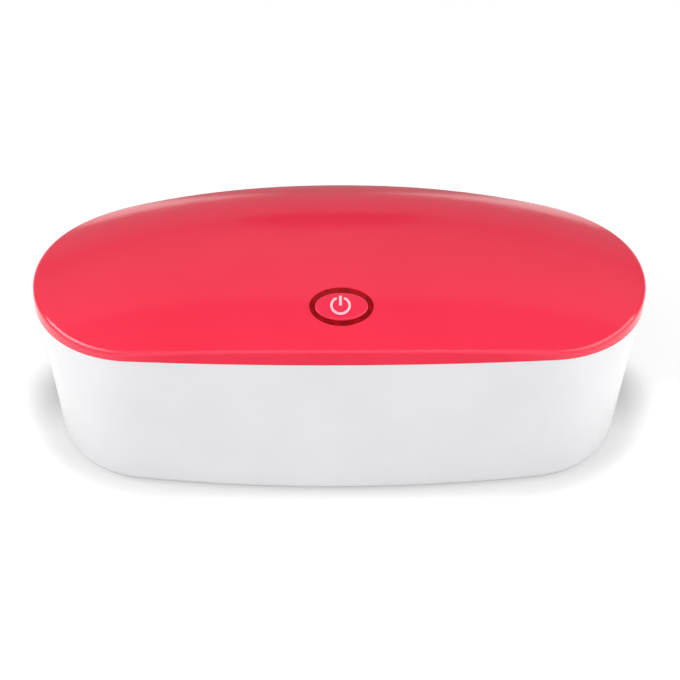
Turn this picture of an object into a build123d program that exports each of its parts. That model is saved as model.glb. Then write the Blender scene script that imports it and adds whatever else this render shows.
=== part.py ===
from build123d import *
import math
import os

# Overall form, in millimetres. The length runs along X, the front faces -Y, and Z is up.
LENGTH = 262.0
WIDTH = 110.0
SIDE_RADIUS = 640.0  # long front and rear arcs of the oval plan
FOOT_PROUD = 1.0  # daylight between the base shell and the table
SEAM_HEIGHT = 82.5  # top edge of the base at mid-length
SEAM_SAG = 7.0  # how much lower that edge is at the two ends
SEAM_GAP = 0.3  # lid edge above base edge
OVERHANG = 0.4  # lid edge outside base edge

# Base shell
BASE_TAPER = 7.5  # the wall leans in by this much, from top to bottom
BASE_WALL = 2.4
BASE_FLOOR = 2.4
BASE_ROUND = 4.0
RIB_WIDTH = 2.0
RIB_DEPTH = 4.0
SIDE_RIB_X = (64.0, 100.0)
FRONT_RIB_X = (14.0, 50.0)

# Feet and the screws under them
FOOT_RADIUS = 7.0
FOOT_RECESS = 1.2
FOOT_FROM_END = 51.0
FOOT_FROM_SIDE = 30.0
BASE_BOSS_RADIUS = 4.6
BASE_BOSS_HEIGHT = 7.0
TRAY_SCREW_RADIUS = 1.5
TRAY_SCREW_LENGTH = 8.0
TRAY_HEAD_RADIUS = 2.8
TRAY_HEAD_HEIGHT = 1.8
TRAY_SCREW_FLOOR = 2.2  # plastic between the screw head and the foot

# Reflective tray
TRAY_INSET = 10.4
TRAY_TAPER = 4.0
TRAY_WALL = 1.6
TRAY_FLOOR = 1.6
TRAY_CLEARANCE = 11.0  # underside of the tray above the base shell's underside
TRAY_ROUND = 5.0
FLANGE_DROP = 1.5  # flange below the base edge
FLANGE_THICKNESS = 1.6
FLOOR_RIB_COUNT = 9
FLOOR_RIB_PITCH = 20.0
FLOOR_RIB_WIDTH = 2.4
FLOOR_RIB_HEIGHT = 1.5
FLOOR_RIB_MARGIN = 7.0

# Lid shell
RIM_HEIGHT = 7.5  # upright side at mid-length, from seam to crown edge
RIM_ROUND = 2.2
CROWN_RISE = 12.2
CROWN_POWER = 2.6
CORNER_POWER = 2.2  # how square the crown's level lines are in plan
LID_WALL = 2.2

# Concealed hinge
KNUCKLE_RADIUS = 4.0
HINGE_DEPTH = 6.0  # axis below the seam
HINGE_X = 23.0
ARM_WIDTH = 12.0
PIN_RADIUS = 1.5
PIN_LENGTH = 27.0
HINGE_BOSS_WIDTH = 8.0
HINGE_FLOOR = 1.0  # under the knuckle
RELIEF_SLOPE = 0.44

# Inner cover of the lid
COVER_LIFT = 0.2  # cover face above the lid edge
COVER_THICKNESS = 1.8
SKIRT_INSET = 13.2
SKIRT_WALL = 1.6
SKIRT_DEPTH = 3.0
SKIRT_SEAT = 0.8  # depth of its groove in the cover
END_SCREW_INSET = 25.0
CORNER_SCREW_INSET = (55.0, 26.0)
FRONT_SCREW_INSET = (89.0, 23.0)
COVER_SCREW_RADIUS = 1.15
COVER_SCREW_LENGTH = 6.0
COVER_HEAD_RADIUS = 2.3
COVER_HEAD_HEIGHT = 1.5
COVER_PAD = 1.0
COVER_BOSS_RADIUS = 3.2

# Ultraviolet lamps
LED_COUNT = 6
LED_FROM_END = 48.5  # last lamp, from the end of the box
LED_SIZE = 3.5
LED_HEIGHT = 1.3
LED_BOARD_LIFT = 5.2  # board above the seam
LED_BOARD_WIDTH = 16.0
LED_BOARD_OVERRUN = 8.0  # board past the last lamp
BOARD_THICKNESS = 1.6
WINDOW_RADIUS = 6.0
WINDOW_THICKNESS = 1.2
WELL_RADIUS = 7.6
WELL_LEDGE = 0.8
WELL_THROAT = 3.0

# Button and light ring, centred on the crown towards the front
BUTTON_FROM_FRONT = 19.5
CAP_LENGTH = 22.0
CAP_DEPTH = 12.6
CAP_PROUD = 0.15
CAP_SKIN = 1.6
CAP_WALL = 1.3
CAP_LIP = 1.0
RING_LENGTH = 26.5
RING_DEPTH = 18.2
RING_DROP = 0.5
RING_LIP = 1.2
BUTTON_GAP = 0.2
BUTTON_TRAVEL = 0.5

# Control board, switch and sensor
CONTROL_LENGTH = 58.0
CONTROL_DEPTH = 20.0
CONTROL_LIFT = 3.6
CONTROL_THICKNESS = 1.2
SWITCH_SIZE = 6.0
SWITCH_HEIGHT = 3.4
PLUNGER_RADIUS = 1.7
PLUNGER_PROUD = 0.8
PLUNGER_LENGTH = 2.0
INDICATOR_SIZE = (2.0, 1.2, 0.8)
SENSOR_SIZE = (4.0, 3.0, 1.2)
SENSOR_X = 22.0

# Battery and charging socket
BATTERY_SIZE = (48.0, 24.0, 5.2)
BATTERY_X = -44.0
BATTERY_GAP = 3.0  # from the lamp board to the cell
CRADLE_WALL = 1.2
CRADLE_HEIGHT = 1.6
SOCKET_WIDTH = 9.0
SOCKET_HEIGHT = 3.2
SOCKET_LENGTH = 7.4
SOCKET_WALL = 0.35
SOCKET_RECESS = 1.0
TONGUE_WIDTH = 6.6
TONGUE_THICKNESS = 0.7
SOCKET_BOARD = (18.0, 11.5, 0.8)

# Magnets and bumpers
MAGNET_RADIUS = 2.5
BASE_MAGNET_HEIGHT = 3.0
LID_MAGNET_HEIGHT = 2.0
MAGNET_X = 36.0
MAGNET_CUP_WALL = 1.0
SENSOR_MAGNET_RADIUS = 2.0
BUMPER_RADIUS = 2.6
BUMPER_X = 84.0

# Board fasteners and leads
POST_RADIUS = 2.4
BOARD_SCREW_RADIUS = 1.0
BOARD_SCREW_LENGTH = 3.0
BOARD_HEAD_RADIUS = 1.9
BOARD_HEAD_HEIGHT = 1.2
LEAD_RADIUS = 0.6
LEAD_PITCH = 1.8
LEAD_BEND = 1.5

# Fits
SLIP = 0.2  # between parts that are dropped together
RUNNING = 0.05  # radial, between a turning or sliding pair
SNUG = 0.02  # radial, between a fastener and its hole
HINGE_SIDE = 0.4  # beside each arm
MARGIN = 4.0  # stock past the finished form

# Worked out from the sizes above
HALF_LENGTH = LENGTH / 2
HALF_WIDTH = WIDTH / 2
SIDE_CENTRE = SIDE_RADIUS - HALF_WIDTH
END_RADIUS = (SIDE_RADIUS**2 - HALF_LENGTH**2 - SIDE_CENTRE**2) / (2 * (SIDE_RADIUS - HALF_LENGTH))
END_CENTRE = HALF_LENGTH - END_RADIUS
JOIN_ANGLE = math.degrees(math.atan2(SIDE_CENTRE, END_CENTRE))
JOIN_X = SIDE_RADIUS * math.cos(math.radians(JOIN_ANGLE))
SEAM_ARC = (HALF_LENGTH**2 + SEAM_SAG**2) / (2 * SEAM_SAG)
TOP_STOCK = SEAM_HEIGHT + RIM_HEIGHT + CROWN_RISE + MARGIN
FLANGE_TOP = -FLANGE_DROP
FLANGE_UNDER = FLANGE_TOP - FLANGE_THICKNESS
COVER_UNDER = SEAM_GAP + COVER_LIFT
COVER_TOP = COVER_UNDER + COVER_THICKNESS
PAD_TOP = COVER_TOP + COVER_PAD
TRAY_UNDER = FOOT_PROUD + TRAY_CLEARANCE
TRAY_BED = TRAY_UNDER + TRAY_FLOOR
BASE_BOSS_TOP = FOOT_PROUD + BASE_BOSS_HEIGHT
HEAD_SEAT = FOOT_PROUD + FOOT_RECESS + TRAY_SCREW_FLOOR
FOOT_X = HALF_LENGTH - FOOT_FROM_END
FOOT_Y = HALF_WIDTH - FOOT_FROM_SIDE
HINGE_Y = HALF_WIDTH - KNUCKLE_RADIUS
BUTTON_Y = BUTTON_FROM_FRONT - HALF_WIDTH
BATTERY_Y = LED_BOARD_WIDTH / 2 + BATTERY_GAP + BATTERY_SIZE[1] / 2
HINGE_Z = SEAM_HEIGHT - HINGE_DEPTH
LED_BOARD_UNDER = SEAM_HEIGHT + LED_BOARD_LIFT
LED_PITCH = 2 * (HALF_LENGTH - LED_FROM_END) / (LED_COUNT - 1)
LED_BOARD_LENGTH = (LED_COUNT - 1) * LED_PITCH + 2 * LED_BOARD_OVERRUN
CONTROL_UNDER = SEAM_HEIGHT + CONTROL_LIFT
CONTROL_TOP = CONTROL_UNDER + CONTROL_THICKNESS
SWITCH_TOP = CONTROL_TOP + SWITCH_HEIGHT
SOCKET_MID = SEAM_HEIGHT + COVER_TOP + SLIP + SOCKET_HEIGHT / 2
LED_X = [LED_PITCH * (i - (LED_COUNT - 1) / 2) for i in range(LED_COUNT)]
BOARD_POST_X = [x for x in (LED_PITCH * (i - LED_COUNT / 2) for i in range(1, LED_COUNT)) if x]


# Basic forms

def mirrored(points):
    """Each point and its mirror image in X."""
    return [(side * x, y) for x, y in points for side in (1, -1)]


def cover_screw_points():
    """Centres of the screws that hold the lid's inner cover."""
    corner_x, corner_y = HALF_LENGTH - CORNER_SCREW_INSET[0], HALF_WIDTH - CORNER_SCREW_INSET[1]
    front_x, front_y = HALF_LENGTH - FRONT_SCREW_INSET[0], HALF_WIDTH - FRONT_SCREW_INSET[1]
    return mirrored([(HALF_LENGTH - END_SCREW_INSET, 0), (corner_x, corner_y), (corner_x, -corner_y),
                     (front_x, -front_y)])


def oval(inset):
    """Plan outline of the box as four tangent arcs, moved inward by inset."""
    side, end = SIDE_RADIUS - inset, END_RADIUS - inset
    long_turn, short_turn = 180 - 2 * JOIN_ANGLE, 2 * JOIN_ANGLE
    return make_face([
        CenterArc((0, -SIDE_CENTRE), side, JOIN_ANGLE, long_turn),
        CenterArc((-END_CENTRE, 0), end, 180 - JOIN_ANGLE, short_turn),
        CenterArc((0, SIDE_CENTRE), side, 180 + JOIN_ANGLE, long_turn),
        CenterArc((END_CENTRE, 0), end, -JOIN_ANGLE, short_turn),
    ])


def column(inset, low=0.0, high=TOP_STOCK):
    """Upright solid on the plan outline."""
    return extrude(Pos(0, 0, low) * oval(inset), high - low)


def tub(low_inset, low, high_inset, high):
    """Solid whose oval outline changes evenly from low to high."""
    return loft([Pos(0, 0, low) * oval(low_inset), Pos(0, 0, high) * oval(high_inset)], ruled=True)


def seam_at(x, offset=0.0):
    """Height of the seam at x, moved outward by offset."""
    return SEAM_HEIGHT - SEAM_ARC + math.sqrt((SEAM_ARC + offset) ** 2 - x * x)


def seam_face(offset, level):
    """Face in the XZ plane between the arched seam line and a level line."""
    end = HALF_LENGTH + MARGIN
    edge = seam_at(end, offset)
    return Plane.XZ * make_face([
        ThreePointArc((-end, edge), (0, SEAM_HEIGHT + offset), (end, edge)),
        Polyline((end, edge), (end, level), (-end, level), (-end, edge)),
    ])


def under_seam(offset):
    """Everything below the seam surface, which is moved up by offset."""
    return extrude(seam_face(offset, -MARGIN), HALF_WIDTH + MARGIN, both=True)


def slab(low, high):
    """Arched layer between two offsets of the seam surface."""
    return under_seam(high) - under_seam(low)


def outline_at(x):
    """Distance of the front or rear outline from the long axis at x."""
    if abs(x) <= JOIN_X:
        return math.sqrt(SIDE_RADIUS**2 - x * x) - SIDE_CENTRE
    return math.sqrt(END_RADIUS**2 - (abs(x) - END_CENTRE) ** 2)


def reach(x, y):
    """Distance of a point from the middle, as a share of about the way to the outline."""
    share = abs(x / HALF_LENGTH) ** CORNER_POWER + abs(y / HALF_WIDTH) ** CORNER_POWER
    return share ** (1 / CORNER_POWER)


def crown_at(x, y):
    """Height of the lid's crown."""
    return seam_at(x) + RIM_HEIGHT + CROWN_RISE * (1 - reach(x, y) ** CROWN_POWER)


def crown_face():
    """The crown as one smooth surface, past the outline on every side."""
    columns, rows = 41, 25
    far_x, far_y = HALF_LENGTH + MARGIN, HALF_WIDTH + MARGIN
    xs = [far_x * (2 * i / (columns - 1) - 1) for i in range(columns)]
    ys = [far_y * (2 * j / (rows - 1) - 1) for j in range(rows)]
    grid = [[Vector(x, y, crown_at(x, y)) for y in ys] for x in xs]
    return Face.make_surface_from_array_of_points(grid, tol=0.01, min_deg=3, max_deg=5)


CROWN = crown_face()


def over_crown(offset):
    """Everything above the crown, which is moved up by offset."""
    return extrude(Pos(0, 0, offset) * CROWN, RIM_HEIGHT + CROWN_RISE + 2 * MARGIN, dir=(0, 0, 1))


def cylinder(x, y, low, high, radius):
    """Upright cylinder between two heights."""
    return Pos(x, y, (low + high) / 2) * Cylinder(radius, high - low)


def block(x, y, low, high, width, depth):
    """Upright block between two heights."""
    return Pos(x, y, (low + high) / 2) * Box(width, depth, high - low)


def across(x, y, z, length, radius):
    """Cylinder along X about a point."""
    return Pos(x, y, z) * Rot(0, 90, 0) * Cylinder(radius, length)


def ellipse_column(length, depth, low=SEAM_HEIGHT, high=TOP_STOCK):
    """Upright elliptical solid about the button's centre."""
    return extrude(Pos(0, BUTTON_Y, low) * Ellipse(length / 2, depth / 2), high - low)


def pan_screw(x, y, seat, radius, length, head_radius, head_height, up=1):
    """Screw with its head's face on the seat and its shank pointing up, or down for -1."""
    shank = Pos(x, y, seat + up * length / 2) * Cylinder(radius, length)
    head = Pos(x, y, seat - up * head_height / 2) * Cylinder(head_radius, head_height)
    slot = Pos(x, y, seat - up * head_height) * Box(head_radius * 1.4, head_radius * 0.3, head_height)
    return shank + head - slot


def write(name, shape):
    """Save one piece."""
    export_step(shape, f"parts/{name}.step")


# Base

def wall_inset(z):
    """Inset of the base's outer wall at a height."""
    return OVERHANG + BASE_TAPER * (SEAM_HEIGHT - z) / (SEAM_HEIGHT - FOOT_PROUD)


def base_form(extra, low):
    """Tapered base form, moved in by extra, from low to just past the seam."""
    high = SEAM_HEIGHT + OVERHANG
    return tub(wall_inset(low) + extra, low, wall_inset(high) + extra, high)


def foot_points():
    """Centres of the feet and of the screws under them."""
    return mirrored([(FOOT_X, -FOOT_Y), (FOOT_X, FOOT_Y)])


def base_ribs():
    """Upright ribs on the inside of the wall, which carry the tray's flange."""
    ring = base_form(BASE_WALL / 2, FOOT_PROUD + BASE_FLOOR / 2)
    ring -= base_form(BASE_WALL + RIB_DEPTH, FOOT_PROUD)
    places = [block(side * x, 0, 0, TOP_STOCK, RIB_WIDTH, 2 * WIDTH)
              for x in SIDE_RIB_X for side in (1, -1)]
    places += [block(side * x, -HALF_WIDTH, 0, TOP_STOCK, RIB_WIDTH, WIDTH)
               for x in FRONT_RIB_X for side in (1, -1)]
    places.append(block(0, 0, 0, TOP_STOCK, 2 * LENGTH, RIB_WIDTH))
    return (Part() + places) & ring & under_seam(FLANGE_UNDER)


def hinge_bosses():
    """Blocks on the rear wall that hold the hinge pins beside each arm."""
    inner = HINGE_Y - KNUCKLE_RADIUS - HINGE_SIDE
    depth = HALF_WIDTH - inner
    offset = ARM_WIDTH / 2 + HINGE_SIDE + HINGE_BOSS_WIDTH / 2
    places = [block(side * (HINGE_X + way * offset), inner + depth / 2,
                    HINGE_Z - KNUCKLE_RADIUS - HINGE_FLOOR, SEAM_HEIGHT, HINGE_BOSS_WIDTH, depth)
              for side in (1, -1) for way in (1, -1)]
    return (Part() + places) & base_form(BASE_WALL / 2, FOOT_PROUD) & under_seam(FLANGE_UNDER - SLIP)


def hinge_notch(side, spread, front):
    """Space that one hinge arm needs in the base, open to the rear and above."""
    floor = HINGE_Z - KNUCKLE_RADIUS - HINGE_FLOOR
    depth = HALF_WIDTH + MARGIN - front
    return block(side * HINGE_X, front + depth / 2, floor, TOP_STOCK, ARM_WIDTH + 2 * spread, depth)


def rear_relief():
    """Slope behind the hinge axis, clear of the lid's edge as it swings over."""
    face = Pos(0, HINGE_Y, 0) * seam_face(0, TOP_STOCK)
    return extrude(face, HALF_WIDTH, dir=(0, 1, -RELIEF_SLOPE))


def base_shell():
    """White outer shell of the base."""
    shell = base_form(0, FOOT_PROUD)
    shell = fillet(shell.faces().sort_by(Axis.Z)[0].edges(), BASE_ROUND)
    inside = base_form(BASE_WALL, FOOT_PROUD + BASE_FLOOR)
    inside = fillet(inside.faces().sort_by(Axis.Z)[0].edges(), BASE_ROUND / 2)
    shell = (shell & under_seam(0)) - inside
    shell += base_ribs() + hinge_bosses()
    for x, y in foot_points():
        shell += cylinder(x, y, FOOT_PROUD + BASE_FLOOR / 2, BASE_BOSS_TOP, BASE_BOSS_RADIUS)
    for x, y in foot_points():
        shell -= cylinder(x, y, 0, FOOT_PROUD + FOOT_RECESS, FOOT_RADIUS + SLIP)
        shell -= cylinder(x, y, 0, HEAD_SEAT, TRAY_HEAD_RADIUS + SLIP)
        shell -= cylinder(x, y, 0, BASE_BOSS_TOP, TRAY_SCREW_RADIUS + SLIP)
    for side in (1, -1):
        shell -= hinge_notch(side, HINGE_SIDE, HINGE_Y - KNUCKLE_RADIUS - HINGE_SIDE)
        shell -= across(side * HINGE_X, HINGE_Y, HINGE_Z, PIN_LENGTH, PIN_RADIUS + SNUG)
    return shell - rear_relief()


def tray_liner():
    """Metallised tray that hangs in the base by its flange."""
    high = SEAM_HEIGHT + OVERHANG
    outer = tub(TRAY_INSET + TRAY_TAPER, TRAY_UNDER, TRAY_INSET, high)
    outer = fillet(outer.faces().sort_by(Axis.Z)[0].edges(), TRAY_ROUND + TRAY_WALL)
    inner = tub(TRAY_INSET + TRAY_TAPER + TRAY_WALL, TRAY_BED, TRAY_INSET + TRAY_WALL, high)
    inner = fillet(inner.faces().sort_by(Axis.Z)[0].edges(), TRAY_ROUND)
    inside_shell = base_form(BASE_WALL + SLIP, FOOT_PROUD)
    flange = inside_shell & slab(FLANGE_UNDER, FLANGE_TOP)
    tray = (outer & under_seam(FLANGE_TOP)) + flange - inner
    tray += tray_floor_ribs() & inner
    for x, y in foot_points():
        tray += cylinder(x, y, BASE_BOSS_TOP, TRAY_BED - TRAY_FLOOR / 2, BASE_BOSS_RADIUS)
        tray -= cylinder(x, y, 0, HEAD_SEAT + TRAY_SCREW_LENGTH + SLIP, TRAY_SCREW_RADIUS + SNUG)
    for x, radius in magnet_seats():
        top = FLANGE_UNDER + FLANGE_THICKNESS / 2
        cup = cylinder(x, flange_y(x), 0, SEAM_HEIGHT, radius + MAGNET_CUP_WALL) & inside_shell
        tray += cup & slab(FLANGE_UNDER - BASE_MAGNET_HEIGHT, top)
        tray -= cylinder(x, flange_y(x), 0, magnet_top(x), radius + SNUG)
    for side in (1, -1):
        tray -= hinge_notch(side, HINGE_SIDE + SLIP, HINGE_Y - KNUCKLE_RADIUS - HINGE_SIDE - SLIP)
        tray -= bumper_seat(side)
    return tray - rear_relief()


def tray_floor_ribs():
    """Raised bars that keep the load off the tray's floor."""
    bars = Part()
    for i in range(FLOOR_RIB_COUNT):
        x = FLOOR_RIB_PITCH * (i - (FLOOR_RIB_COUNT - 1) / 2)
        bars += block(x, 0, TRAY_BED - TRAY_FLOOR / 2, TRAY_BED + FLOOR_RIB_HEIGHT, FLOOR_RIB_WIDTH, WIDTH)
    return bars & column(TRAY_INSET + TRAY_TAPER + TRAY_WALL + FLOOR_RIB_MARGIN)


def flange_y(x):
    """Middle of the front flange at x, between the wall and the tray."""
    return (OVERHANG + BASE_WALL + SLIP + TRAY_INSET) / 2 - outline_at(x)


def magnet_seats():
    """Places along the front flange of the closing magnets and the sensor's magnet."""
    return [(MAGNET_X, MAGNET_RADIUS), (-MAGNET_X, MAGNET_RADIUS), (SENSOR_X, SENSOR_MAGNET_RADIUS)]


def magnet_top(x):
    """Flat top of a magnet's pocket, just below the flange's underside."""
    return seam_at(abs(x) + MAGNET_RADIUS) + FLANGE_UNDER


def base_magnet(x, radius):
    """Disc magnet under the tray's flange."""
    top = magnet_top(x)
    return cylinder(x, flange_y(x), top - BASE_MAGNET_HEIGHT, top, radius)


def lid_magnet(x):
    """Disc magnet on the lid's cover, over the one in the base."""
    return cylinder(x, flange_y(x), lid_magnet_seat(), lid_magnet_seat() + LID_MAGNET_HEIGHT, MAGNET_RADIUS)


def bumper_form(side, radius):
    """Upright column where a bumper sits on the front flange."""
    return cylinder(side * BUMPER_X, flange_y(BUMPER_X), 0, TOP_STOCK, radius)


def bumper_seat(side):
    """Shallow seat for a bumper in the flange."""
    return bumper_form(side, BUMPER_RADIUS) & slab(FLANGE_TOP - FLANGE_THICKNESS / 3, FLANGE_TOP + MARGIN)


def lid_bumper(side):
    """Soft pad between the tray's flange and the lid's cover."""
    return bumper_form(side, BUMPER_RADIUS) & slab(FLANGE_TOP - FLANGE_THICKNESS / 3, COVER_UNDER - SEAM_GAP)


def foot():
    """Rubber foot with a rounded lower edge, at the origin."""
    pad = cylinder(0, 0, 0, FOOT_PROUD + FOOT_RECESS, FOOT_RADIUS)
    return fillet(pad.faces().sort_by(Axis.Z)[0].edges(), FOOT_PROUD / 2)


# Lid

def lid_form():
    """Outside of the lid, with its crown edge rounded."""
    form = column(0, 0) - over_crown(0) - under_seam(SEAM_GAP)
    return fillet(form.faces().sort_by(Axis.Z)[-1].edges(), RIM_ROUND)


def hinge_arm(side, form):
    """Arm that hangs from the lid's rear edge to the hinge axis."""
    arm = block(side * HINGE_X, HINGE_Y, HINGE_Z, TOP_STOCK, ARM_WIDTH, 2 * KNUCKLE_RADIUS)
    arm += across(side * HINGE_X, HINGE_Y, HINGE_Z, ARM_WIDTH, KNUCKLE_RADIUS)
    below = arm & column(0) & under_seam(SEAM_GAP)
    return below + (arm & form)


def lid_shell(form):
    """Glossy lid with its bosses, hinge arms, button opening and socket slot."""
    shell = form - (column(LID_WALL) - over_crown(-LID_WALL))
    for x, y in cover_screw_points():
        boss = cylinder(x, y, SEAM_HEIGHT - SEAM_SAG, TOP_STOCK, COVER_BOSS_RADIUS)
        shell += boss & form - under_seam(PAD_TOP)
    for x, y in cover_screw_points():
        seat = seam_at(x, COVER_UNDER) + COVER_HEAD_HEIGHT
        shell -= cylinder(x, y, 0, seat + COVER_SCREW_LENGTH + SLIP, COVER_SCREW_RADIUS + SNUG)
    for side in (1, -1):
        shell += hinge_arm(side, form)
        shell -= across(side * HINGE_X, HINGE_Y, HINGE_Z, 2 * ARM_WIDTH, PIN_RADIUS + RUNNING)
    shell -= ellipse_column(RING_LENGTH + 2 * SNUG, RING_DEPTH + 2 * SNUG)
    return shell - socket_profile(SLIP, HALF_WIDTH, LID_WALL + MARGIN)


def screw_recess(x, y):
    """Sunk seat and hole for one screw of the inner cover."""
    seat = seam_at(x, COVER_UNDER) + COVER_HEAD_HEIGHT
    hole = cylinder(x, y, 0, TOP_STOCK, COVER_SCREW_RADIUS + SLIP)
    return hole + cylinder(x, y, 0, seat, COVER_HEAD_RADIUS + SLIP)


def window_low(x):
    """Underside of the window over a lamp."""
    return seam_at(abs(x) + WINDOW_RADIUS, COVER_UNDER)


def lamp_well(x):
    """Collar of one lamp, from the cover up to the lamp board."""
    return cylinder(x, 0, seam_at(x, COVER_UNDER), LED_BOARD_UNDER - SLIP, WELL_RADIUS)


def lamp_bore(x):
    """Window seat and flared reflector of one lamp."""
    ledge = window_low(x) + WINDOW_THICKNESS
    height = LED_BOARD_UNDER - ledge
    flare = Pos(x, 0, ledge + height / 2) * Cone(WINDOW_RADIUS - WELL_LEDGE, WELL_THROAT, height)
    return flare + cylinder(x, 0, 0, ledge, WINDOW_RADIUS + SNUG)


def board_posts():
    """Points, undersides and thicknesses of every board's screws."""
    control_x = CONTROL_LENGTH / 2 - POST_RADIUS
    control_y = CONTROL_DEPTH / 2 - POST_RADIUS
    posts = [(x, 0, LED_BOARD_UNDER, BOARD_THICKNESS) for x in BOARD_POST_X]
    posts += [(sx * control_x, BUTTON_Y + sy * control_y, CONTROL_UNDER, CONTROL_THICKNESS)
              for sx in (1, -1) for sy in (1, -1)]
    width, depth, thickness = SOCKET_BOARD
    posts += [(sx * (width / 2 - POST_RADIUS), socket_board_front() + POST_RADIUS,
               SOCKET_MID - thickness / 2, thickness) for sx in (1, -1)]
    return posts


def battery_cradle():
    """Frame and two bars that hold the battery on the cover."""
    length, depth, height = BATTERY_SIZE
    low, bed = SEAM_HEIGHT - SEAM_SAG, battery_bed()
    frame = block(BATTERY_X, BATTERY_Y, low, bed + CRADLE_HEIGHT,
                  length + 2 * CRADLE_WALL + 2 * SLIP, depth + 2 * CRADLE_WALL + 2 * SLIP)
    frame -= block(BATTERY_X, BATTERY_Y, low, TOP_STOCK, length + 2 * SLIP, depth + 2 * SLIP)
    for side in (1, -1):
        x = BATTERY_X + side * length / 4
        frame += block(x, BATTERY_Y, low, bed, CRADLE_WALL, depth + 2 * CRADLE_WALL)
    return frame - under_seam((COVER_UNDER + COVER_TOP) / 2)


def battery_bed():
    """Height that the battery lies at."""
    return SEAM_HEIGHT + COVER_TOP


def lid_inner_cover():
    """Reflective cover that closes the lid from below, with the lamp wells."""
    cover = column(LID_WALL + SLIP) & slab(COVER_UNDER, COVER_TOP)
    for x, y in cover_screw_points():
        cover += cylinder(x, y, 0, TOP_STOCK, COVER_BOSS_RADIUS + 1) & slab(COVER_UNDER, PAD_TOP)
    for x, y, under, _ in board_posts():
        cover += cylinder(x, y, seam_at(x, COVER_UNDER), under, POST_RADIUS)
    for x in LED_X:
        cover += lamp_well(x)
    cover += battery_cradle()
    for side in (1, -1):
        x, y = side * MAGNET_X, flange_y(MAGNET_X)
        cup = cylinder(x, y, 0, TOP_STOCK, MAGNET_RADIUS + MAGNET_CUP_WALL)
        cover += cup & slab(COVER_UNDER, COVER_TOP + LID_MAGNET_HEIGHT)
        cover -= cylinder(x, y, lid_magnet_seat(), TOP_STOCK, MAGNET_RADIUS + SNUG)
        cover -= cover_arm_notch(side)
    for x, y in cover_screw_points():
        cover -= screw_recess(x, y)
    for x, y, under, thickness in board_posts():
        low = under + thickness - BOARD_SCREW_LENGTH - SLIP
        cover -= cylinder(x, y, low, TOP_STOCK, BOARD_SCREW_RADIUS + SNUG)
    for x in LED_X:
        cover -= lamp_bore(x)
    groove = column(SKIRT_INSET - SLIP) - column(SKIRT_INSET + SKIRT_WALL + SLIP)
    return cover - (groove & slab(COVER_UNDER, COVER_UNDER + SKIRT_SEAT))


def light_trap_skirt():
    """Upright frame bonded into the cover's groove, which hangs inside the tray's flange."""
    wall = column(SKIRT_INSET) - column(SKIRT_INSET + SKIRT_WALL)
    return wall & slab(COVER_UNDER - SKIRT_DEPTH, COVER_UNDER + SKIRT_SEAT)


def lid_magnet_seat():
    """Height of the flat seat under each lid magnet."""
    return seam_at(MAGNET_X - MAGNET_RADIUS, COVER_TOP)


def cover_arm_notch(side):
    """Clearance in the cover round one hinge arm."""
    front = HINGE_Y - KNUCKLE_RADIUS - HINGE_SIDE
    depth = HALF_WIDTH - front
    return block(side * HINGE_X, front + depth / 2, 0, TOP_STOCK, ARM_WIDTH + 2 * HINGE_SIDE, depth)


def led_board():
    """Long board that carries the lamps."""
    board = block(0, 0, LED_BOARD_UNDER, LED_BOARD_UNDER + BOARD_THICKNESS, LED_BOARD_LENGTH, LED_BOARD_WIDTH)
    board = fillet(board.edges().filter_by(Axis.Z), LED_BOARD_WIDTH / 8)
    for x in BOARD_POST_X:
        board -= cylinder(x, 0, 0, TOP_STOCK, BOARD_SCREW_RADIUS + SLIP)
    return board


def uvc_led(x):
    """Square lamp package with a raised round lens, hanging under its board."""
    dome = LED_HEIGHT / 3
    low = LED_BOARD_UNDER - LED_HEIGHT
    return block(x, 0, low + dome, LED_BOARD_UNDER, LED_SIZE, LED_SIZE) + cylinder(
        x, 0, low, low + dome, LED_SIZE / 3)


def uv_window(x):
    """Quartz disc in front of a lamp."""
    low = window_low(x)
    return cylinder(x, 0, low, low + WINDOW_THICKNESS, WINDOW_RADIUS)


def control_board():
    """Board under the button."""
    board = block(0, BUTTON_Y, CONTROL_UNDER, CONTROL_TOP, CONTROL_LENGTH, CONTROL_DEPTH)
    for x, y, under, _ in board_posts():
        if under == CONTROL_UNDER:
            board -= cylinder(x, y, 0, TOP_STOCK, BOARD_SCREW_RADIUS + SLIP)
    return board


def switch_body():
    """Square push switch on the control board."""
    body = block(0, BUTTON_Y, CONTROL_TOP, SWITCH_TOP, SWITCH_SIZE, SWITCH_SIZE)
    low = SWITCH_TOP + PLUNGER_PROUD - PLUNGER_LENGTH - BUTTON_TRAVEL - SLIP
    return body - cylinder(0, BUTTON_Y, low, SWITCH_TOP, PLUNGER_RADIUS + RUNNING)


def switch_plunger():
    """Round plunger of the push switch."""
    top = SWITCH_TOP + PLUNGER_PROUD
    return cylinder(0, BUTTON_Y, top - PLUNGER_LENGTH, top, PLUNGER_RADIUS)


def crown_layer(form, low, high):
    """What a form has between two offsets of the crown."""
    return (form & over_crown(low)) - over_crown(high)


def light_ring():
    """Clear red ring round the button, with a lip under the crown."""
    opening = ellipse_column(CAP_LENGTH + 2 * BUTTON_GAP, CAP_DEPTH + 2 * BUTTON_GAP)
    low = -LID_WALL - RING_LIP
    ring = crown_layer(ellipse_column(RING_LENGTH, RING_DEPTH), low, -RING_DROP)
    lip = ellipse_column(RING_LENGTH + 2 * RING_LIP, RING_DEPTH + 2 * RING_LIP)
    return ring + crown_layer(lip, low, -LID_WALL) - opening


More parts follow.
